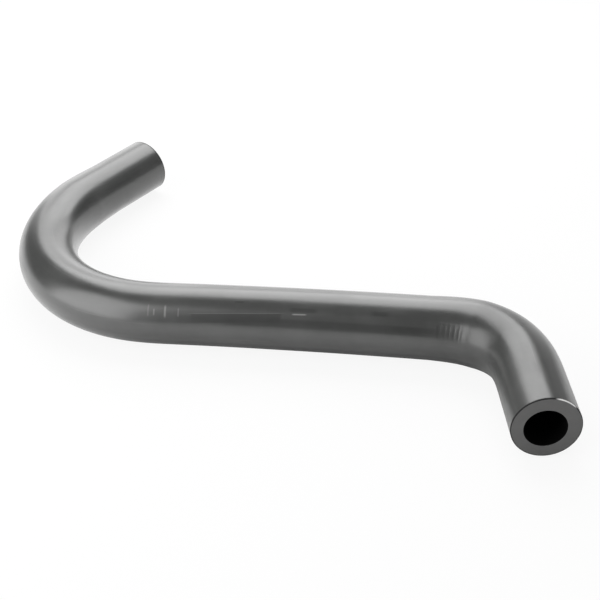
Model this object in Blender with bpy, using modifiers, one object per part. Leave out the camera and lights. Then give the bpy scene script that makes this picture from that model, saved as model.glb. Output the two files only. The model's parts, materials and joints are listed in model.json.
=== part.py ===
# Moulded rubber hydraulic hose for a car's engine bay: a thick-walled tube, cut square at both ends.
# It lies flat on its side. From the near end it runs along +Y, turns sharply to the left,
# goes straight on for a while and sweeps back to the right in a wide bend.
# Metres, +Z up. The origin is in the middle of the hose's outline, on what it lies on.

import math

import bpy
from mathutils import Vector

# Section
BORE_DIAMETER = 0.016         # pushes over a 16 mm pipe stub
WALL = 0.0055
BEND_SWELLING = 0.0007        # radius that the moulded tube has gained by the end of each bend
RIM_BREAK = 0.0004            # the cut edges are slightly rounded

# Route along the middle of the bore; angles are in degrees
NEAR_LEG = 0.026
TIGHT_BEND_RADIUS = 0.032
TIGHT_BEND_ANGLE = 74.0       # to the left
MIDDLE_RUN = 0.1095
MIDDLE_RUN_TURN = 3.0         # to the left: the run relaxed out of straight when it was moulded
WIDE_BEND_RADIUS = 0.0725
WIDE_BEND_ANGLE = 116.5       # to the right
FAR_LEG = 0.031
BEND_EASE = 0.021             # length over which the route passes from straight to round, and back

# Fineness of the mesh
SIDES = 40
RING_TURN = 5.0               # degrees of bend between one ring and the next
WALK_STEPS = 16               # steps in which the route is followed from ring to ring
RIM_SEGMENTS = 2

LEFT, RIGHT = -1, 1


def bend(radius, angle, side, turning_before, turning_after):
    # Turning is in radians a metre, clockwise seen from above. Each stretch has its length,
    # its turning at both ends and how much of the swelling it has at both ends.
    tightest = side / radius
    round_length = math.radians(angle) * radius - BEND_EASE
    return [
        (BEND_EASE, turning_before, tightest, 0.0, 0.0),
        (round_length, tightest, tightest, 0.0, 1.0),
        (BEND_EASE, tightest, turning_after, 1.0, 0.0),
    ]


def route_stretches():
    run_turning = LEFT * math.radians(MIDDLE_RUN_TURN) / MIDDLE_RUN
    return [
        (NEAR_LEG, 0.0, 0.0, 0.0, 0.0),
        *bend(TIGHT_BEND_RADIUS, TIGHT_BEND_ANGLE, LEFT, 0.0, run_turning),
        (MIDDLE_RUN, run_turning, run_turning, 0.0, 0.0),
        *bend(WIDE_BEND_RADIUS, WIDE_BEND_ANGLE, RIGHT, run_turning, 0.0),
        (FAR_LEG, 0.0, 0.0, 0.0, 0.0),
    ]


def route_rings():
    # Follows the route from the near end: each ring's centre, and its outer radius.
    plain_radius = BORE_DIAMETER / 2 + WALL
    place = Vector((0.0, 0.0, 0.0))
    heading = 0.0
    rings = [(place.copy(), plain_radius)]
    for length, turning, end_turning, swelling, end_swelling in route_stretches():
        turn = abs(turning + end_turning) / 2 * length
        ring_count = max(1, math.ceil(turn / math.radians(RING_TURN)))
        step_count = ring_count * WALK_STEPS
        step = length / step_count
        for index in range(step_count):
            halfway = (index + 0.5) / step_count
            step_turn = (turning + (end_turning - turning) * halfway) * step
            middle_heading = heading + step_turn / 2
            place += step * Vector((math.sin(middle_heading), math.cos(middle_heading), 0.0))
            heading += step_turn
            if (index + 1) % WALK_STEPS == 0:
                share = (index + 1) / step_count
                fullness = swelling + (end_swelling - swelling) * share
                rings.append((place.copy(), plain_radius + BEND_SWELLING * fullness))
    return rings


def outer_skin(name, rings):
    # The outside of the tube, open at both ends, as a plain mesh.
    curve = bpy.data.curves.new(name, "CURVE")
    curve.dimensions = "3D"
    curve.twist_mode = "Z_UP"
    curve.bevel_depth = BORE_DIAMETER / 2 + WALL
    curve.bevel_resolution = (SIDES - 4) // 2
    spline = curve.splines.new("POLY")
    spline.points.add(len(rings) - 1)
    for point, (centre, radius) in zip(spline.points, rings):
        point.co = (*centre, 1.0)
        point.radius = radius / curve.bevel_depth
    guide = bpy.data.objects.new(name + "_route", curve)
    bpy.context.scene.collection.objects.link(guide)
    evaluated = guide.evaluated_get(bpy.context.evaluated_depsgraph_get())
    mesh = bpy.data.meshes.new_from_object(evaluated)
    mesh.name = name
    bpy.data.objects.remove(guide)
    bpy.data.curves.remove(curve)
    return mesh


def add_wall(hose):
    wall = hose.modifiers.new("wall", "SOLIDIFY")
    wall.thickness = WALL
    wall.offset = -1.0
    wall.use_even_offset = True
    wall.use_rim = True


def break_rims(hose):
    rims = hose.modifiers.new("rims", "BEVEL")
    rims.width = RIM_BREAK
    rims.segments = RIM_SEGMENTS
    rims.limit_method = "ANGLE"
    rims.angle_limit = math.radians(60)
    shading = hose.modifiers.new("shading", "WEIGHTED_NORMAL")
    shading.keep_sharp = True


def lay_down(hose):
    # The hose lies on the ground, with its outline round the origin.
    bpy.context.view_layer.update()
    finished = hose.evaluated_get(bpy.context.evaluated_depsgraph_get())
    lowest = Vector(finished.bound_box[0])
    highest = Vector(finished.bound_box[6])
    middle = (lowest + highest) / 2
    hose.location = (-middle.x, -middle.y, -lowest.z)


def rubber():
    material = bpy.data.materials.new("black_rubber")
    material.use_nodes = True
    shader = material.node_tree.nodes["Principled BSDF"]
    shader.inputs["Base Color"].default_value = (0.045, 0.046, 0.045, 1.0)
    shader.inputs["Roughness"].default_value = 0.42
    shader.inputs["Metallic"].default_value = 0.0
    material.diffuse_color = (0.045, 0.046, 0.045, 1.0)
    return material


def make_hose(collection):
    mesh = outer_skin("hose", route_rings())
    mesh.shade_smooth()
    mesh.materials.append(rubber())
    hose = bpy.data.objects.new("hose", mesh)
    collection.objects.link(hose)
    add_wall(hose)
    break_rims(hose)
    lay_down(hose)


for old in list(bpy.data.objects):
    bpy.data.objects.remove(old)

hydraulic_hose = bpy.data.collections.new("hydraulic_hose")
bpy.context.scene.collection.children.link(hydraulic_hose)
make_hose(hydraulic_hose)
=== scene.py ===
# A moulded rubber hydraulic hose, dressed for the camera.
# The hose is one piece: a section outline carried round and laid along its route by Geometry Nodes.
import json
import math

import bpy
from mathutils import Matrix, Quaternion, Vector


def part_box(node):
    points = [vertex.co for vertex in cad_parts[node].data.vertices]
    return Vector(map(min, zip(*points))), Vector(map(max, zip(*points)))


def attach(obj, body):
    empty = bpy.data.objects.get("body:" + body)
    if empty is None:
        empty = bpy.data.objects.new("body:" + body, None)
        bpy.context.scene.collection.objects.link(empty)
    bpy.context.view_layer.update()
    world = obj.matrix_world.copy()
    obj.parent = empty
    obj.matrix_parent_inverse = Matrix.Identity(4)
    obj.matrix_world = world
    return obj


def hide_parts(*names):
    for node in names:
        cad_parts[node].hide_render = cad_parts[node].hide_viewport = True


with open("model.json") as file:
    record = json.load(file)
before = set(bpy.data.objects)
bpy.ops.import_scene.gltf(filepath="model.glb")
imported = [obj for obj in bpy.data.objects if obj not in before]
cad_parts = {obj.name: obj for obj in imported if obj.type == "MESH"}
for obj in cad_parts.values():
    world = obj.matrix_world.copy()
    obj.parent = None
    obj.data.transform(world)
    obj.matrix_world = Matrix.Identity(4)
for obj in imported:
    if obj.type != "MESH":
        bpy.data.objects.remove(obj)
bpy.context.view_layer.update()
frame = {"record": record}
print("frame loaded")


# Small helpers for node trees

def addNode(tree, kind, **settings):
    node = tree.nodes.new(kind)
    for name, value in settings.items():
        setattr(node, name, value)
    return node


def feed(tree, socket, value):
    # a socket is linked, anything else becomes the input's own value
    if isinstance(value, bpy.types.NodeSocket):
        tree.links.new(value, socket)
    else:
        socket.default_value = value


def maths(tree, operation, *values):
    node = addNode(tree, "ShaderNodeMath", operation=operation)
    for socket, value in zip(node.inputs, values):
        feed(tree, socket, value)
    return node.outputs[0]


def vectorMaths(tree, operation, *values):
    node = addNode(tree, "ShaderNodeVectorMath", operation=operation)
    for socket, value in zip(node.inputs, values):
        feed(tree, socket, value)
    return node.outputs[0]


def scaled(tree, vector, factor):
    node = addNode(tree, "ShaderNodeVectorMath", operation="SCALE")
    feed(tree, node.inputs["Vector"], vector)
    feed(tree, node.inputs["Scale"], factor)
    return node.outputs[0]


def joined(tree, x, y, z):
    node = addNode(tree, "ShaderNodeCombineXYZ")
    for socket, value in zip(node.inputs, (x, y, z)):
        feed(tree, socket, value)
    return node.outputs[0]


def parted(tree, vector):
    node = addNode(tree, "ShaderNodeSeparateXYZ")
    feed(tree, node.inputs[0], vector)
    return node.outputs


def distance(tree, first, second):
    # from nought, across two directions at a right angle
    return maths(tree, "SQRT", maths(
        tree, "ADD", maths(tree, "MULTIPLY", first, first), maths(tree, "MULTIPLY", second, second)))


def ramp(tree, value, low, high, lowResult=0.0, highResult=1.0):
    node = addNode(tree, "ShaderNodeMapRange", interpolation_type="SMOOTHSTEP")
    for socket, item in zip(node.inputs, (value, low, high, lowResult, highResult)):
        feed(tree, socket, item)
    return node.outputs["Result"]


def noise(tree, place, scale, detail, roughness=0.5):
    node = addNode(tree, "ShaderNodeTexNoise", noise_dimensions="3D")
    feed(tree, node.inputs["Vector"], place)
    feed(tree, node.inputs["Scale"], scale)
    node.inputs["Detail"].default_value = detail
    node.inputs["Roughness"].default_value = roughness
    return node.outputs["Fac"]


def band(tree, value, centre, halfWidth, fade):
    # 1 within halfWidth of centre, falling to 0 over fade
    away = maths(tree, "ABSOLUTE", maths(tree, "SUBTRACT", value, centre))
    return ramp(tree, away, halfWidth, maths(tree, "ADD", halfWidth, fade), 1.0, 0.0)


# The route, in metres and degrees: near leg, tight bend, middle run, wide bend, far leg
route = {
    "nearLeg": 0.026,
    "tightBendRadius": 0.032,
    "tightBendAngle": 74.0,       # to the left
    "middleRun": 0.1095,
    "middleRunTurn": 3.0,         # to the left, where the run relaxed out of straight
    "wideBendRadius": 0.0725,
    "wideBendAngle": 116.5,       # to the right
    "farLeg": 0.031,
    "bendEase": 0.021,            # from straight to round and back
    "step": 0.00025,              # at most this far from one point of the route to the next
}

# The tube's section, and how finely it is made
tube = {
    "bore": 0.016,
    "wall": 0.0055,
    "rimRound": 0.0004,
    "rimSegments": 4,
    "rimSupport": 0.00012,        # a ring this close to each rounded rim keeps the flat face flat
    "fullness": 0.0007,           # radius that the tube has gained by the end of each bend
    "boreShift": (-0.00035, -0.0002),    # to the right and up, as one looks along the route
    "sides": 96,
    "ringSpacing": 0.0011,
    "boreRingSpacing": 0.003,
    "leastSpacing": 0.3,          # a last ring closer than this share of the spacing is left out
    "swayHeight": 0.00016,        # the moulded skin isn't quite even
    "swayLength": 0.045,
    "swayAround": 0.4,            # the sway's length round the tube, as a share of that along it
    "swayDepth": (0.8, 1.0),      # it sets in between these shares of the way from bore to skin
    "cutFaceInset": 0.00035,      # in from the outside, where the look of the cut face begins
    "boreFaceInset": 0.0003,      # out from the bore, where the look of the bore begins
    "weldDistance": 0.000002,
    "seed": 7,
}

straightPlace = "straight"        # the attribute that keeps each point's place from before the tube was bent

# The pressed creases at the end of the tight bend
creases = {
    "start": 0.069,
    "end": 0.086,
    "alongFade": 0.003,
    "ringSpacing": 0.00022,
    "aroundMiddle": 152.0,        # degrees up from the hose's right-hand side
    "aroundReach": 8.0,
    "aroundFade": 10.0,
    "pitch": 0.0025,
    "wander": 0.0018,             # how far a crease strays from its place in the row
    "wanderLength": 0.006,
    "narrowness": 2.0,
    "depth": 0.00004,
}


def bendStretches(radius, angle, side, turningBefore, turningAfter):
    # each stretch: length, turning at its start, turning at its end, in radians a metre
    tightest = side / radius
    roundLength = math.radians(angle) * radius - route["bendEase"]
    return [
        (route["bendEase"], turningBefore, tightest),
        (roundLength, tightest, tightest),
        (route["bendEase"], tightest, turningAfter),
    ]


def routeStretches():
    left, right = -1, 1
    runTurning = left * math.radians(route["middleRunTurn"]) / route["middleRun"]
    return [
        (route["nearLeg"], 0.0, 0.0),
        *bendStretches(route["tightBendRadius"], route["tightBendAngle"], left, 0.0, runTurning),
        (route["middleRun"], runTurning, runTurning),
        *bendStretches(route["wideBendRadius"], route["wideBendAngle"], right, runTurning, 0.0),
        (route["farLeg"], 0.0, 0.0),
    ]


def routePoints(start):
    place, heading = Vector(start), 0.0
    points = [place.copy()]
    for length, turning, endTurning in routeStretches():
        stepCount = math.ceil(length / route["step"])
        step = length / stepCount
        for index in range(stepCount):
            share = (index + 0.5) / stepCount
            stepTurn = (turning + (endTurning - turning) * share) * step
            middle = heading + stepTurn / 2
            place += step * Vector((math.sin(middle), math.cos(middle), 0.0))
            heading += stepTurn
            points.append(place.copy())
    return points


def makeRouteCurve():
    nearEnd = next(m for m in frame["record"]["mounts"] if m["name"] == "near_end")
    lowest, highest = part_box("hose")
    start = (nearEnd["pos_m"][0], nearEnd["pos_m"][1], (lowest.z + highest.z) / 2)
    curve = bpy.data.curves.new("hoseRoute", "CURVE")
    curve.dimensions = "3D"
    spline = curve.splines.new("POLY")
    points = routePoints(start)
    spline.points.add(len(points) - 1)
    for splinePoint, place in zip(spline.points, points):
        splinePoint.co = (*place, 1.0)
    guide = bpy.data.objects.new("hoseRoute", curve)
    bpy.context.scene.collection.objects.link(guide)
    return guide


def stationsOfBends():
    # where each bend's round part starts and ends and its last ease ends, and where the hose ends
    lengths = [stretch[0] for stretch in routeStretches()]
    marks = [sum(lengths[:count]) for count in range(len(lengths) + 1)]
    return marks[2:5], marks[6:9], marks[-1]


def fullness(along):
    # the tube fattens through each bend's round part and thins again over its last ease
    gained = 0.0
    for roundStart, roundEnd, bendEnd in stationsOfBends()[:2]:
        if roundStart < along <= roundEnd:
            gained += tube["fullness"] * (along - roundStart) / (roundEnd - roundStart)
        elif roundEnd < along < bendEnd:
            gained += tube["fullness"] * (bendEnd - along) / (bendEnd - roundEnd)
    return gained


def ringStations(start, end, spacing, fineStart=0.0, fineEnd=0.0, fineSpacing=0.0):
    stations = [start]
    while stations[-1] < end:
        step = fineSpacing if fineStart < stations[-1] < fineEnd else spacing
        stations.append(min(end, stations[-1] + step))
    if stations[-1] - stations[-2] < tube["leastSpacing"] * spacing:
        del stations[-2]
    return stations


def roundedCorner(along, out, alongInward, outInward):
    # a quarter round from the end face's side to the wall's side
    radius = tube["rimRound"]
    points = []
    for index in range(tube["rimSegments"] + 1):
        angle = math.pi / 2 * index / tube["rimSegments"]
        points.append((
            along + alongInward * radius * (1 - math.sin(angle)),
            out + outInward * radius * (1 - math.cos(angle)),
        ))
    return points


def sectionOutline():
    # (distance along the route, distance out from its middle), all round the wall:
    # outside, far face, bore, near face
    length = stationsOfBends()[2]
    outerRadius, boreRadius = tube["bore"] / 2 + tube["wall"], tube["bore"] / 2
    rim, support = tube["rimRound"], tube["rimSupport"]
    outside = ringStations(
        rim + support, length - rim - support, tube["ringSpacing"],
        creases["start"], creases["end"], creases["ringSpacing"])
    inside = ringStations(rim + support, length - rim - support, tube["boreRingSpacing"])
    nearOuter = roundedCorner(0.0, outerRadius, 1, -1)
    farOuter = roundedCorner(length, outerRadius, -1, -1)
    nearInner = roundedCorner(0.0, boreRadius, 1, 1)
    farInner = roundedCorner(length, boreRadius, -1, 1)
    faceOuter, faceInner = outerRadius - rim - support, boreRadius + rim + support
    outline = nearOuter[::-1]
    outline += [(along, outerRadius + fullness(along)) for along in outside]
    outline += farOuter
    outline += [(length, faceOuter), (length, (faceOuter + faceInner) / 2), (length, faceInner)]
    outline += farInner[::-1]
    outline += [(along, boreRadius + fullness(along)) for along in reversed(inside)]
    outline += nearInner
    outline += [(0.0, faceInner), (0.0, (faceOuter + faceInner) / 2), (0.0, faceOuter)]
    return outline


def makeSectionObject():
    mesh = bpy.data.meshes.new("hose_tube")
    outline = sectionOutline()
    mesh.from_pydata([(along, out, 0.0) for along, out in outline], [], [])
    section = bpy.data.objects.new("hose_tube", mesh)
    bpy.context.scene.collection.objects.link(section)
    return section


def tubeTree():
    # lays a straight tube, made from the section outline, along the route
    tree = bpy.data.node_groups.new("tubeAlongRoute", "GeometryNodeTree")
    for kind, names in (
        ("Geometry", ("Section",)),
        ("Object", ("Route",)),
        ("Int", ("Sides", "Seed")),
        ("Vector", ("Bore Shift",)),
        ("Float", (
            "Outer Radius", "Bore Radius", "Cut Face Inset", "Bore Face Inset", "Weld Distance",
            "Sway Height", "Sway Length", "Sway Around", "Sway Starts", "Sway Full",
            "Crease Depth", "Crease Pitch", "Crease Narrowness", "Crease Wander", "Crease Wander Length",
            "Crease Middle", "Crease Reach", "Crease Along Fade",
            "Crease Angle", "Crease Spread", "Crease Around Fade")),
        ("Material", ("Skin", "Cut Face", "Bore Face")),
    ):
        for name in names:
            tree.interface.new_socket(name, in_out="INPUT", socket_type="NodeSocket" + kind)
    tree.interface.new_socket("Tube", in_out="OUTPUT", socket_type="NodeSocketGeometry")
    given = addNode(tree, "NodeGroupInput").outputs
    link = tree.links.new

    # a sheet of faces, one row for each outline point and one column for each side
    outlineCount = addNode(tree, "GeometryNodeAttributeDomainSize", component="MESH")
    link(given["Section"], outlineCount.inputs["Geometry"])
    sheet = addNode(tree, "GeometryNodeMeshGrid")
    sheet.inputs["Size X"].default_value = sheet.inputs["Size Y"].default_value = 1.0
    feed(tree, sheet.inputs["Vertices X"], maths(tree, "ADD", outlineCount.outputs["Point Count"], 1.0))
    feed(tree, sheet.inputs["Vertices Y"], maths(tree, "ADD", given["Sides"], 1.0))
    spot = parted(tree, addNode(tree, "GeometryNodeInputPosition").outputs[0])    # from -0.5 to 0.5 each way
    row = maths(tree, "ROUND", maths(
        tree, "MULTIPLY", maths(tree, "ADD", spot["X"], 0.5), outlineCount.outputs["Point Count"]))
    row = maths(tree, "FLOORED_MODULO", row, outlineCount.outputs["Point Count"])
    turn = maths(tree, "MULTIPLY", maths(tree, "ADD", spot["Y"], 0.5), 2 * math.pi)

    # each row's place in the section: how far along the route, how far out from its middle
    section = addNode(tree, "GeometryNodeSampleIndex", data_type="FLOAT_VECTOR", domain="POINT")
    link(given["Section"], section.inputs["Geometry"])
    link(addNode(tree, "GeometryNodeInputPosition").outputs[0], section.inputs["Value"])
    link(row, section.inputs["Index"])
    sectionSpot = parted(tree, section.outputs["Value"])
    along, out = sectionSpot["X"], sectionSpot["Y"]
    toOneSide = maths(tree, "MULTIPLY", out, maths(tree, "COSINE", turn))
    upward = maths(tree, "MULTIPLY", out, maths(tree, "SINE", turn))
    straight = addNode(tree, "GeometryNodeStoreNamedAttribute", data_type="FLOAT_VECTOR", domain="POINT")
    straight.inputs["Name"].default_value = straightPlace
    link(sheet.outputs["Mesh"], straight.inputs["Geometry"])
    feed(tree, straight.inputs["Value"], joined(tree, along, toOneSide, upward))

    # the straight tube's own coordinates, from here on
    read = addNode(tree, "GeometryNodeInputNamedAttribute", data_type="FLOAT_VECTOR")
    read.inputs["Name"].default_value = straightPlace
    own = parted(tree, read.outputs["Attribute"])
    ownOut = distance(tree, own["Y"], own["Z"])

    # bent along the route, with the bore shifted by its full amount and the skin not at all
    depth = ramp(tree, ownOut, given["Bore Radius"], given["Outer Radius"], 1.0, 0.0)
    shift = parted(tree, scaled(tree, given["Bore Shift"], depth))
    sample = addNode(tree, "GeometryNodeSampleCurve", mode="LENGTH", use_all_curves=True)
    routeInfo = addNode(tree, "GeometryNodeObjectInfo", transform_space="ORIGINAL")
    link(given["Route"], routeInfo.inputs["Object"])
    link(routeInfo.outputs["Geometry"], sample.inputs["Curves"])
    link(own["X"], sample.inputs["Length"])
    rightward = vectorMaths(tree, "NORMALIZE", vectorMaths(
        tree, "CROSS_PRODUCT", sample.outputs["Tangent"], (0.0, 0.0, 1.0)))
    place = vectorMaths(tree, "ADD", sample.outputs["Position"], scaled(
        tree, rightward, maths(tree, "ADD", own["Y"], shift["X"])))
    place = vectorMaths(tree, "ADD", place, joined(
        tree, 0.0, 0.0, maths(tree, "ADD", own["Z"], shift["Y"])))
    bent = addNode(tree, "GeometryNodeSetPosition")
    link(straight.outputs["Geometry"], bent.inputs["Geometry"])
    link(place, bent.inputs["Position"])
    welded = addNode(tree, "GeometryNodeMergeByDistance")
    link(bent.outputs["Geometry"], welded.inputs["Geometry"])
    link(given["Weld Distance"], welded.inputs["Distance"])

    # the skin sways a little inwards, and creases where it was pressed in the tight bend
    skin = ramp(tree, maths(tree, "SUBTRACT", 1.0, depth), given["Sway Starts"], given["Sway Full"])
    swayAround = maths(tree, "MULTIPLY", given["Sway Length"], given["Sway Around"])
    swayPlace = vectorMaths(tree, "DIVIDE", read.outputs["Attribute"], joined(
        tree, given["Sway Length"], swayAround, swayAround))
    swayPlace = vectorMaths(tree, "ADD", swayPlace, joined(tree, given["Seed"], given["Seed"], 0.0))
    sway = maths(tree, "MULTIPLY", noise(tree, swayPlace, 1.0, 1.0), given["Sway Height"])
    around = maths(tree, "ARCTAN2", own["Z"], own["Y"])
    inBend = band(tree, own["X"], given["Crease Middle"], given["Crease Reach"], given["Crease Along Fade"])
    inArc = band(tree, around, given["Crease Angle"], given["Crease Spread"], given["Crease Around Fade"])
    strayPlace = vectorMaths(tree, "DIVIDE", read.outputs["Attribute"], joined(
        tree, given["Crease Wander Length"], given["Crease Wander Length"], given["Crease Wander Length"]))
    strayPlace = vectorMaths(tree, "ADD", strayPlace, joined(tree, given["Seed"], 0.0, given["Seed"]))
    stray = maths(tree, "SUBTRACT", noise(tree, strayPlace, 1.0, 1.0), 0.5)
    rowPlace = maths(tree, "ADD", own["X"], maths(tree, "MULTIPLY", stray, given["Crease Wander"]))
    wave = maths(tree, "COSINE", maths(
        tree, "MULTIPLY", maths(tree, "DIVIDE", rowPlace, given["Crease Pitch"]), 2 * math.pi))
    groove = maths(tree, "POWER", maths(
        tree, "MULTIPLY", maths(tree, "ADD", wave, 1.0), 0.5), given["Crease Narrowness"])
    crease = maths(tree, "MULTIPLY", maths(tree, "MULTIPLY", inBend, inArc), maths(
        tree, "MULTIPLY", groove, given["Crease Depth"]))
    inward = maths(tree, "MULTIPLY", maths(tree, "ADD", sway, crease), skin)
    uneven = addNode(tree, "GeometryNodeSetPosition")
    link(welded.outputs["Geometry"], uneven.inputs["Geometry"])
    normal = addNode(tree, "GeometryNodeInputNormal").outputs[0]
    feed(tree, uneven.inputs["Offset"], scaled(tree, normal, maths(tree, "MULTIPLY", inward, -1.0)))

    # smooth and real, with the looks of the skin, the cut faces and the bore
    smooth = addNode(tree, "GeometryNodeSetShadeSmooth")
    link(uneven.outputs["Geometry"], smooth.inputs["Geometry"])
    real = addNode(tree, "GeometryNodeRealizeInstances")
    link(smooth.outputs["Geometry"], real.inputs["Geometry"])
    skinned = addNode(tree, "GeometryNodeSetMaterial")
    link(real.outputs["Geometry"], skinned.inputs["Geometry"])
    link(given["Skin"], skinned.inputs["Material"])
    faceOut = maths(tree, "LESS_THAN", ownOut, maths(
        tree, "SUBTRACT", given["Outer Radius"], given["Cut Face Inset"]))
    faced = addNode(tree, "GeometryNodeSetMaterial")
    link(skinned.outputs["Geometry"], faced.inputs["Geometry"])
    link(faceOut, faced.inputs["Selection"])
    link(given["Cut Face"], faced.inputs["Material"])
    boreOut = maths(tree, "LESS_THAN", ownOut, maths(
        tree, "ADD", given["Bore Radius"], given["Bore Face Inset"]))
    bored = addNode(tree, "GeometryNodeSetMaterial")
    link(faced.outputs["Geometry"], bored.inputs["Geometry"])
    link(boreOut, bored.inputs["Selection"])
    link(given["Bore Face"], bored.inputs["Material"])
    link(bored.outputs["Geometry"], addNode(tree, "NodeGroupOutput").inputs["Tube"])
    return tree


def setInputs(modifier, values):
    # by each socket's identifier
    identifiers = {
        item.name: item.identifier for item in modifier.node_group.interface.items_tree
        if item.item_type == "SOCKET" and item.in_out == "INPUT"
    }
    for name, value in values.items():
        modifier[identifiers[name]] = value


def asPlainMesh(thing, name):
    evaluated = thing.evaluated_get(bpy.context.evaluated_depsgraph_get())
    mesh = bpy.data.meshes.new_from_object(evaluated)
    mesh.name = name
    thing.modifiers.clear()
    old = thing.data
    thing.data = mesh
    bpy.data.meshes.remove(old)


# Finishes

# Fine grain of moulded rubber, in the tube's own straight coordinates
rubberGrain = {
    "detail": 3.0,
    "roughness": 0.6,
    "toneScale": 0.03,            # the tone changes this many times over the size of one grain
    "depth": 0.0001,
}


def grainGroup():
    group = bpy.data.node_groups.new("rubberGrain", "ShaderNodeTree")
    group.interface.new_socket("Place", in_out="INPUT", socket_type="NodeSocketVector")
    group.interface.new_socket("Grain Size", in_out="INPUT", socket_type="NodeSocketFloat")
    group.interface.new_socket("Height", in_out="OUTPUT", socket_type="NodeSocketFloat")
    group.interface.new_socket("Tone", in_out="OUTPUT", socket_type="NodeSocketFloat")
    given = addNode(group, "NodeGroupInput").outputs
    place = vectorMaths(group, "DIVIDE", given["Place"], joined(
        group, given["Grain Size"], given["Grain Size"], given["Grain Size"]))
    detail, roughness = rubberGrain["detail"], rubberGrain["roughness"]
    result = addNode(group, "NodeGroupOutput")
    feed(group, result.inputs["Height"], noise(group, place, 1.0, detail, roughness))
    feed(group, result.inputs["Tone"], noise(group, place, rubberGrain["toneScale"], detail, roughness))
    return group


# Rubbed and smudged places, drawn out along the hose
handlingMarks = {
    "around": 0.2,                # a smudge's width round the hose, as a share of its length
    "smudgeDetail": 4.0,
    "smudgeRoughness": 0.55,
    "smudgeEdge": (0.42, 0.68),
    "scratchFineness": (0.6, 9.0, 9.0),    # against the smudges, along the hose and across it
    "scratchEdge": (0.70, 0.80),
}


def handlingGroup():
    group = bpy.data.node_groups.new("handlingMarks", "ShaderNodeTree")
    group.interface.new_socket("Place", in_out="INPUT", socket_type="NodeSocketVector")
    group.interface.new_socket("Smudge Length", in_out="INPUT", socket_type="NodeSocketFloat")
    group.interface.new_socket("Smudges", in_out="OUTPUT", socket_type="NodeSocketFloat")
    group.interface.new_socket("Scratches", in_out="OUTPUT", socket_type="NodeSocketFloat")
    given = addNode(group, "NodeGroupInput").outputs
    length = given["Smudge Length"]
    width = maths(group, "MULTIPLY", length, handlingMarks["around"])
    place = vectorMaths(group, "DIVIDE", given["Place"], joined(group, length, width, width))
    smudges = noise(group, place, 1.0, handlingMarks["smudgeDetail"], handlingMarks["smudgeRoughness"])
    finePlace = vectorMaths(group, "MULTIPLY", place, handlingMarks["scratchFineness"])
    scratches = noise(group, finePlace, 1.0, 1.0)
    result = addNode(group, "NodeGroupOutput")
    feed(group, result.inputs["Smudges"], ramp(group, smudges, *handlingMarks["smudgeEdge"]))
    feed(group, result.inputs["Scratches"], ramp(group, scratches, *handlingMarks["scratchEdge"]))
    return group


# One mark on the skin: where it is along the hose and round it, how far it reaches, and how it slants
def markGroup():
    group = bpy.data.node_groups.new("skinMark", "ShaderNodeTree")
    group.interface.new_socket("Place", in_out="INPUT", socket_type="NodeSocketVector")
    for name in ("Along", "Angle", "Half Length", "Half Width", "Slant", "Soft Along", "Soft Angle"):
        group.interface.new_socket(name, in_out="INPUT", socket_type="NodeSocketFloat")
    group.interface.new_socket("Mask", in_out="OUTPUT", socket_type="NodeSocketFloat")
    given = addNode(group, "NodeGroupInput").outputs
    spot = parted(group, given["Place"])
    angle = maths(group, "DEGREES", maths(group, "ARCTAN2", spot["Z"], spot["Y"]))
    past = maths(group, "SUBTRACT", spot["X"], given["Along"])
    angle = maths(group, "SUBTRACT", angle, maths(group, "MULTIPLY", past, given["Slant"]))
    angle = maths(group, "WRAP", maths(group, "SUBTRACT", angle, given["Angle"]), 180.0, -180.0)
    mask = maths(
        group, "MULTIPLY", band(group, past, 0.0, given["Half Length"], given["Soft Along"]),
        band(group, angle, 0.0, given["Half Width"], given["Soft Angle"]))
    feed(group, addNode(group, "NodeGroupOutput").inputs["Mask"], mask)
    return group


def startMaterial(name):
    material = bpy.data.materials.new(name)
    material.use_nodes = True
    tree = material.node_tree
    shader = tree.nodes["Principled BSDF"]
    place = addNode(tree, "ShaderNodeAttribute", attribute_type="GEOMETRY", attribute_name=straightPlace)
    return material, tree, shader, place.outputs["Vector"]


def useGroup(tree, group, **inputs):
    node = addNode(tree, "ShaderNodeGroup")
    node.node_tree = group
    for name, value in inputs.items():
        feed(tree, node.inputs[name.replace("_", " ")], value)
    return node.outputs


def marksMask(tree, group, place, marks):
    mask = None
    for along, angle, halfLength, halfWidth, slant, softAlong, softAngle, strength in marks:
        mark = useGroup(
            tree, group, Place=place, Along=along, Angle=angle, Half_Length=halfLength,
            Half_Width=halfWidth, Slant=slant, Soft_Along=softAlong, Soft_Angle=softAngle)
        part = maths(tree, "MULTIPLY", mark["Mask"], strength)
        mask = part if mask is None else maths(tree, "MAXIMUM", mask, part)
    return mask


def blendColour(tree, factor, first, second):
    node = addNode(tree, "ShaderNodeMix", data_type="RGBA")
    feed(tree, node.inputs[0], factor)
    feed(tree, node.inputs[6], first)
    feed(tree, node.inputs[7], second)
    return node.outputs[2]


def grainNormal(tree, height, strength):
    node = addNode(tree, "ShaderNodeBump")
    node.inputs["Strength"].default_value = strength
    node.inputs["Distance"].default_value = rubberGrain["depth"]
    feed(tree, node.inputs["Height"], height)
    return node.outputs["Normal"]


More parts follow.
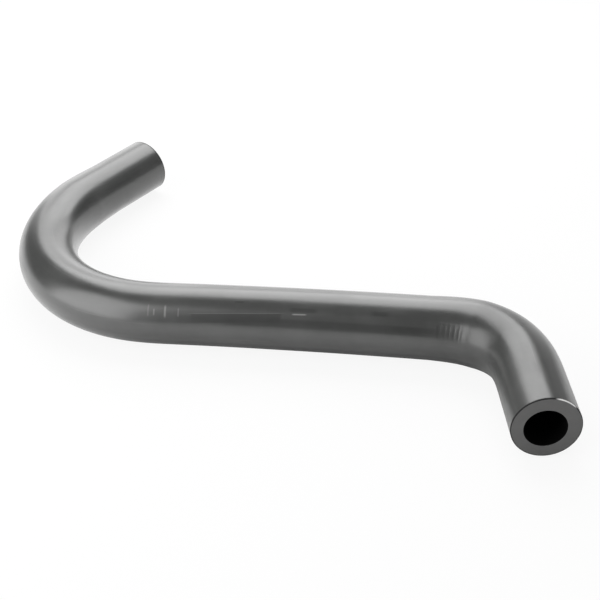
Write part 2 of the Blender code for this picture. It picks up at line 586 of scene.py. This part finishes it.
skinFinish = {
    "dark": (0.038, 0.0392, 0.038, 1.0),
    "light": (0.056, 0.0575, 0.0555, 1.0),
    "toneEdge": (0.2, 0.8),
    "scratch": (0.12, 0.12, 0.118, 1.0),
    "scratchStrength": 0.3,
    # the colour of the dark marks, and of the painted shade along the underside
    "darkMarksAndPaintedShade": (0.014, 0.0145, 0.014, 1.0),
    "darkenedDullness": 0.6,          # share of the gloss that dark marks and the painted shade lose
    "pale": (0.3, 0.3, 0.295, 1.0),
    # painted shade: the rounded cut edge is made nearly black all round
    "rim": (0.006, 0.006, 0.006, 1.0),
    "rimRoughness": 0.5,              # more than the rest
    "rimEdge": (0.0005, 0.0009),      # how far the painted shade, a dark line round the cut edge, reaches along the hose
    # a painted highlight: a pale glint on the near rim, given as in skinMarks
    "rimPaintedGlint": (0.0, 57.0, 0.0004, 12.0, 0.0, 0.0001, 10.0, 1.0),
    # the colour of the painted highlight on the near rim
    "rimGlintColour": (0.95, 0.95, 0.94, 1.0),
    "roughness": (0.3, 0.4),          # bare, and where it is smudged
    "ior": 1.6,
    "coatWeight": (0.5, 1.0),         # near leg and the rest: the near end is handled most
    "coatEdge": (0.05, 0.1),          # metres along, between which the one becomes the other
    "coatRoughness": 0.26,
    "grainSize": 0.0005,
    "grainStrength": 0.06,
    "smudgeLength": 0.03,
}


# Marks on the skin, each with: metres along, degrees round, half its length, half its width,
# degrees of slant a metre, softness along and round, strength
skinMarks = {
    "pale": [
        (0.1416, 136.6, 0.0021, 0.5, 120.0, 0.0014, 1.4, 0.6),      # a scuff on the run
        (0.2002, 142.0, 0.0001, 6.0, 0.0, 0.0006, 8.0, 0.5),       # nicks where the wide bend starts
        (0.1943, 143.0, 0.0001, 5.0, 0.0, 0.0004, 5.0, 0.22),
        (0.2050, 144.0, 0.0001, 3.0, 0.0, 0.0004, 5.0, 0.35),
        (0.2075, 141.0, 0.0001, 8.0, 0.0, 0.0004, 5.0, 0.2),
        (0.1690, 140.2, 0.0170, 0.2, 200.0, 0.0060, 0.8, 0.16),     # the lower edge of the darkened patch
    ],
    "dark": [
        (0.1690, 149.0, 0.0190, 7.6, 200.0, 0.0012, 1.4, 0.45),     # a darkened patch with a slanting edge
        (0.1280, 154.0, 0.0400, 5.0, 0.0, 0.0080, 5.0, 0.35),       # smudges on the run
        (0.1900, 155.0, 0.0035, 5.0, 0.0, 0.0030, 4.0, 0.3),
        (0.1400, 129.0, 0.0040, 2.0, 0.0, 0.0030, 3.5, 0.5),
        (0.1075, 127.0, 0.0018, 2.0, 0.0, 0.0030, 4.0, 0.45),
        (0.0835, 151.0, 0.0002, 9.0, 0.0, 0.0006, 5.0, 0.4),        # beside the creases
        (0.0960, 153.0, 0.0050, 4.0, 0.0, 0.0050, 5.0, 0.45),
        (0.1680, 118.5, 0.0014, 0.8, 0.0, 0.0012, 1.6, 0.5),
        (0.3940, -18.0, 0.0001, 7.0, 0.0, 0.0004, 4.0, 0.7),        # a hairline by the far end
        (0.1400, 219.0, 0.0700, 8.0, 0.0, 0.0300, 12.0, 0.85),      # painted shade: the underside darkened along its lower edge, where the contact shadow falls
    ],
}


def mouldedSkin(grain, handling, mark):
    material, tree, shader, place = startMaterial("mouldedSkin")
    surface = useGroup(tree, grain, Place=place, Grain_Size=skinFinish["grainSize"])
    marks = useGroup(tree, handling, Place=place, Smudge_Length=skinFinish["smudgeLength"])
    # dark marks, and painted shade along the underside where the contact shadow falls
    darkMarksAndPaintedShade = marksMask(tree, mark, place, skinMarks["dark"])
    pale = marksMask(tree, mark, place, skinMarks["pale"])
    # painted highlight: the pale glint on the near rim
    paintedGlint = marksMask(tree, mark, place, [skinFinish["rimPaintedGlint"]])
    along = parted(tree, place)["X"]
    toEnd = maths(tree, "MINIMUM", along, maths(tree, "SUBTRACT", stationsOfBends()[2], along))
    # painted shade: a dark line round each cut edge, which also loses its gloss
    rim = ramp(tree, toEnd, *skinFinish["rimEdge"], 1.0, 0.0)

    tone = ramp(tree, surface["Tone"], *skinFinish["toneEdge"])
    scratches = maths(tree, "MULTIPLY", marks["Scratches"], skinFinish["scratchStrength"])
    colour = blendColour(tree, tone, skinFinish["dark"], skinFinish["light"])
    colour = blendColour(tree, scratches, colour, skinFinish["scratch"])
    colour = blendColour(tree, darkMarksAndPaintedShade, colour, skinFinish["darkMarksAndPaintedShade"])
    colour = blendColour(tree, pale, colour, skinFinish["pale"])
    colour = blendColour(tree, rim, colour, skinFinish["rim"])
    # the painted highlight on the near rim goes over all the rest
    feed(tree, shader.inputs["Base Color"], blendColour(tree, paintedGlint, colour, skinFinish["rimGlintColour"]))

    roughness = ramp(tree, marks["Smudges"], 0.0, 1.0, *skinFinish["roughness"])
    feed(tree, shader.inputs["Roughness"], maths(
        tree, "ADD", roughness, maths(tree, "MULTIPLY", rim, skinFinish["rimRoughness"])))
    coat = ramp(tree, along, *skinFinish["coatEdge"], *skinFinish["coatWeight"])
    dull = maths(tree, "MAXIMUM", rim, maths(tree, "MULTIPLY", darkMarksAndPaintedShade, skinFinish["darkenedDullness"]))
    glossy = maths(tree, "SUBTRACT", 1.0, dull)
    feed(tree, shader.inputs["Coat Weight"], maths(tree, "MULTIPLY", coat, glossy))
    shader.inputs["Coat Roughness"].default_value = skinFinish["coatRoughness"]
    shader.inputs["IOR"].default_value = skinFinish["ior"]
    feed(tree, shader.inputs["Normal"], grainNormal(tree, surface["Height"], skinFinish["grainStrength"]))
    return material


cutFinish = {
    "dark": (0.108, 0.108, 0.107, 1.0),
    "light": (0.145, 0.145, 0.143, 1.0),
    "roughness": 0.62,
    "grainSize": 0.00035,
    "grainStrength": 0.25,
    # painted shade: a dark line along the outer edge of the cut face, on its lower part only
    "border": (0.02, 0.02, 0.02, 1.0),
    "borderWidth": (0.0004, 0.0007),    # in from the outside: full up to the first, gone by the second
    "borderTop": (-0.004, 0.001),       # the heights between which it fades out
}


def cutRubber(grain):
    material, tree, shader, place = startMaterial("cutRubber")
    surface = useGroup(tree, grain, Place=place, Grain_Size=cutFinish["grainSize"])
    colour = blendColour(tree, surface["Tone"], cutFinish["dark"], cutFinish["light"])
    spot = parted(tree, place)
    # painted shade along the lower outer edge of the cut face
    fromOutside = maths(
        tree, "SUBTRACT", tube["bore"] / 2 + tube["wall"], distance(tree, spot["Y"], spot["Z"]))
    border = maths(
        tree, "MULTIPLY", ramp(tree, fromOutside, *cutFinish["borderWidth"], 1.0, 0.0),
        ramp(tree, spot["Z"], *cutFinish["borderTop"], 1.0, 0.0))
    feed(tree, shader.inputs["Base Color"], blendColour(tree, border, colour, cutFinish["border"]))
    shader.inputs["Roughness"].default_value = cutFinish["roughness"]
    feed(tree, shader.inputs["Normal"], grainNormal(tree, surface["Height"], cutFinish["grainStrength"]))
    return material


# the bore's own dark rubber, made near black as painted shade of the deep bore
boreFinish = {
    "dark": (0.0015, 0.0015, 0.0015, 1.0),
    "light": (0.004, 0.004, 0.004, 1.0),
    "roughness": 0.85,
    "ior": 1.15,
    "grainSize": 0.0008,
    "grainStrength": 0.3,
}


def boreRubber(grain):
    material, tree, shader, place = startMaterial("boreRubber")
    surface = useGroup(tree, grain, Place=place, Grain_Size=boreFinish["grainSize"])
    # near black: the bore's own rubber with painted shade of the deep bore
    feed(tree, shader.inputs["Base Color"], blendColour(
        tree, surface["Tone"], boreFinish["dark"], boreFinish["light"]))
    shader.inputs["Roughness"].default_value = boreFinish["roughness"]
    shader.inputs["IOR"].default_value = boreFinish["ior"]
    feed(tree, shader.inputs["Normal"], grainNormal(tree, surface["Height"], boreFinish["grainStrength"]))
    return material


def makeHose():
    grain, handling, mark = grainGroup(), handlingGroup(), markGroup()
    guide = makeRouteCurve()
    hose = makeSectionObject()
    modifier = hose.modifiers.new("tubeAlongRoute", "NODES")
    modifier.node_group = tubeTree()
    setInputs(modifier, {
        "Route": guide,
        "Sides": tube["sides"],
        "Outer Radius": tube["bore"] / 2 + tube["wall"],
        "Bore Radius": tube["bore"] / 2,
        "Bore Shift": (*tube["boreShift"], 0.0),
        "Cut Face Inset": tube["cutFaceInset"],
        "Bore Face Inset": tube["boreFaceInset"],
        "Weld Distance": tube["weldDistance"],
        "Sway Height": tube["swayHeight"],
        "Sway Length": tube["swayLength"],
        "Sway Around": tube["swayAround"],
        "Sway Starts": tube["swayDepth"][0],
        "Sway Full": tube["swayDepth"][1],
        "Seed": tube["seed"],
        "Crease Depth": creases["depth"],
        "Crease Pitch": creases["pitch"],
        "Crease Narrowness": creases["narrowness"],
        "Crease Wander": creases["wander"],
        "Crease Wander Length": creases["wanderLength"],
        "Crease Middle": (creases["start"] + creases["end"]) / 2,
        "Crease Reach": (creases["end"] - creases["start"]) / 2 - creases["alongFade"],
        "Crease Along Fade": creases["alongFade"],
        "Crease Angle": math.radians(creases["aroundMiddle"]),
        "Crease Spread": math.radians(creases["aroundReach"]),
        "Crease Around Fade": math.radians(creases["aroundFade"]),
        "Skin": mouldedSkin(grain, handling, mark),
        "Cut Face": cutRubber(grain),
        "Bore Face": boreRubber(grain),
    })
    asPlainMesh(hose, "hose_tube")
    routeCurve = guide.data
    bpy.data.objects.remove(guide)
    bpy.data.curves.remove(routeCurve)
    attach(hose, "root")
    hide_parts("hose")
    return hose


hoseTube = makeHose()
print("hose made:", len(hoseTube.data.polygons), "faces")


# The studio: a white floor, a panel that leans over the back, a small panel behind the far leg
# and a softbox on the left. Shares and strengths are of plain white.

studio = {
    "floorSize": 12.0,
    "floorColour": (0.80, 0.80, 0.80, 1.0),
    "floorWhiteShare": 0.9,       # the rest of the floor's look is real light, which keeps the shadow
    "floorMirroredShare": (0.0, 0.95),    # the same, as the hose mirrors the floor in front and behind
    "floorMirroredEdge": (-0.05, 0.02),   # metres back, between which the one share becomes the other
    "worldFill": 0.5,             # soft light from all round
    "darkRoom": (0.19, 0.06),     # what the hose mirrors of the room in front of it and behind it
    "darkRoomEdge": (-0.5, 0.5),
    "backdropTurn": 4.0,          # degrees to the right of straight behind
    "backdropWidth": 29.0,        # degrees to each side of that
    "backdropFade": 24.0,
    "backdropTop": (0.17, 0.5),   # the hose mirrors the backdrop up to these heights, fading between them
    "leastLevel": 0.001,          # keeps the direction straight up from being divided by nought
}

# Each lamp is a rectangle that faces the point it looks towards, turned round that line by some degrees.
# Its radiance is how bright the hose mirrors it.
lamps = {
    "leaning": {
        "place": (-0.061, 0.461, 0.5055),
        "towards": (-0.488, -0.208, -0.1025),
        "size": (0.767, 0.92),
        "turn": 25.7,
        "radiance": 0.55,
    },
    "leaningTop": {
        "place": (-0.059, 0.3918, 0.5637),
        "towards": (-0.486, -0.2772, -0.0443),
        "size": (0.767, 0.58),
        "turn": 25.7,
        "radiance": 2.05,
    },
    "back": {
        "place": (-0.2, 0.6, 0.13),
        "towards": (-0.1, 0.09, 0.02),
        "size": (0.26, 0.26),
        "turn": 0.0,
        "radiance": 0.5,
    },
    "left": {
        "place": (-0.45, -0.185, 0.31),
        "towards": (0.0, -0.05, 0.27),
        "size": (0.48, 0.6),
        "turn": 0.0,
        "radiance": 1.95,
    },
}


def makeFloor():
    half = studio["floorSize"] / 2
    mesh = bpy.data.meshes.new("studio_floor")
    corners = [(-half, -half, 0), (half, -half, 0), (half, half, 0), (-half, half, 0)]
    mesh.from_pydata(corners, [], [(0, 1, 2, 3)])
    floor = bpy.data.objects.new("studio_floor", mesh)
    bpy.context.scene.collection.objects.link(floor)
    material = bpy.data.materials.new("whiteFloor")
    material.use_nodes = True
    tree = material.node_tree
    tree.nodes.clear()
    diffuse = addNode(tree, "ShaderNodeBsdfDiffuse")
    diffuse.inputs["Color"].default_value = studio["floorColour"]
    white = addNode(tree, "ShaderNodeEmission")
    path = addNode(tree, "ShaderNodeLightPath")
    seen = maths(tree, "MAXIMUM", path.outputs["Is Camera Ray"], path.outputs["Is Transmission Ray"])
    spot = parted(tree, addNode(tree, "ShaderNodeNewGeometry").outputs["Position"])
    mirrored = ramp(tree, spot["Y"], *studio["floorMirroredEdge"], *studio["floorMirroredShare"])
    share = maths(tree, "MAXIMUM", maths(tree, "MULTIPLY", seen, studio["floorWhiteShare"]), maths(
        tree, "MULTIPLY", path.outputs["Is Glossy Ray"], mirrored))
    mix = addNode(tree, "ShaderNodeMixShader")
    feed(tree, mix.inputs[0], share)
    feed(tree, mix.inputs[1], diffuse.outputs[0])
    feed(tree, mix.inputs[2], white.outputs[0])
    feed(tree, addNode(tree, "ShaderNodeOutputMaterial").inputs["Surface"], mix.outputs[0])
    mesh.materials.append(material)


def makeWorld():
    world = bpy.data.worlds.new("studioWorld")
    world.use_nodes = True
    bpy.context.scene.world = world
    tree = world.node_tree
    tree.nodes.clear()
    path = addNode(tree, "ShaderNodeLightPath")
    direction = parted(tree, addNode(tree, "ShaderNodeTexCoord").outputs["Generated"])

    # the backdrop, as the hose mirrors it: how nearly a level direction points straight at it
    level = distance(tree, direction["X"], direction["Y"])
    turn = math.radians(studio["backdropTurn"])
    ahead = maths(
        tree, "ADD", maths(tree, "MULTIPLY", direction["X"], math.sin(turn)),
        maths(tree, "MULTIPLY", direction["Y"], math.cos(turn)))
    toBack = maths(tree, "DIVIDE", ahead, maths(tree, "MAXIMUM", level, studio["leastLevel"]))
    width, halfFade = studio["backdropWidth"], studio["backdropFade"] / 2
    outer, inner = (math.cos(math.radians(angle)) for angle in (width + halfFade, width - halfFade))
    behind = maths(
        tree, "MULTIPLY", ramp(tree, toBack, outer, inner),
        ramp(tree, direction["Z"], *studio["backdropTop"], 1.0, 0.0))

    # white where it is seen, the backdrop and a dark room where it is mirrored, soft fill for the rest
    glossy = maths(tree, "MULTIPLY", path.outputs["Is Glossy Ray"], behind)
    seen = maths(tree, "MAXIMUM", path.outputs["Is Camera Ray"], path.outputs["Is Transmission Ray"])
    seen = maths(tree, "MAXIMUM", seen, glossy)
    fill = addNode(tree, "ShaderNodeMix", data_type="FLOAT")
    feed(tree, fill.inputs[0], path.outputs["Is Glossy Ray"])
    fill.inputs[2].default_value = studio["worldFill"]
    feed(tree, fill.inputs[3], ramp(tree, direction["Y"], *studio["darkRoomEdge"], *studio["darkRoom"]))
    strength = addNode(tree, "ShaderNodeMix", data_type="FLOAT")
    feed(tree, strength.inputs[0], seen)
    feed(tree, strength.inputs[2], fill.outputs[0])
    strength.inputs[3].default_value = 1.0
    background = addNode(tree, "ShaderNodeBackground")
    feed(tree, background.inputs["Strength"], strength.outputs[0])
    background.inputs["Color"].default_value = (1.0, 1.0, 1.0, 1.0)
    feed(tree, addNode(tree, "ShaderNodeOutputWorld").inputs["Surface"], background.outputs[0])


def makeLamp(name, place, towards, size, turn, radiance):
    lamp = bpy.data.lights.new(name, "AREA")
    lamp.shape = "RECTANGLE"
    lamp.size, lamp.size_y = size
    lamp.energy = 4 * size[0] * size[1] * radiance    # the energy that makes it look this bright
    light = bpy.data.objects.new(name, lamp)
    light.location = place
    light.rotation_mode = "QUATERNION"
    aimed = (Vector(towards) - Vector(place)).to_track_quat("-Z", "Y")
    light.rotation_quaternion = aimed @ Quaternion((0, 0, 1), math.radians(turn))
    light.visible_camera = False
    bpy.context.scene.collection.objects.link(light)


def makeStudio():
    makeFloor()
    makeWorld()
    for name, lamp in lamps.items():
        makeLamp(name, **lamp)
    bpy.context.scene.view_settings.view_transform = "Standard"


makeStudio()
print("studio made")


# The camera stands where the photograph was taken from
viewpoint = {
    "place": (0.02235, -0.46672, 0.29606),
    "azimuth": 0.731,
    "elevation": 32.725,
    "roll": 5.25,
    "focalLength": 71.48,
    "sensorWidth": 36.0,
    "clip": (0.01, 50.0),
}


def makeCamera():
    azimuth, elevation = math.radians(viewpoint["azimuth"]), math.radians(viewpoint["elevation"])
    forward = Vector((
        -math.sin(azimuth) * math.cos(elevation),
        math.cos(azimuth) * math.cos(elevation),
        -math.sin(elevation)))
    level = forward.cross(Vector((0, 0, 1))).normalized()
    right = Matrix.Rotation(math.radians(viewpoint["roll"]), 3, forward) @ level
    up = right.cross(forward)
    camera = bpy.data.objects.new("photoCamera", bpy.data.cameras.new("photoCamera"))
    camera.data.lens = viewpoint["focalLength"]
    camera.data.sensor_width = viewpoint["sensorWidth"]
    camera.data.clip_start, camera.data.clip_end = viewpoint["clip"]
    turn = Matrix((right, up, -forward)).transposed()
    camera.matrix_world = Matrix.Translation(viewpoint["place"]) @ turn.to_4x4()
    bpy.context.scene.collection.objects.link(camera)
    bpy.context.scene.camera = camera


makeCamera()
print("camera set")
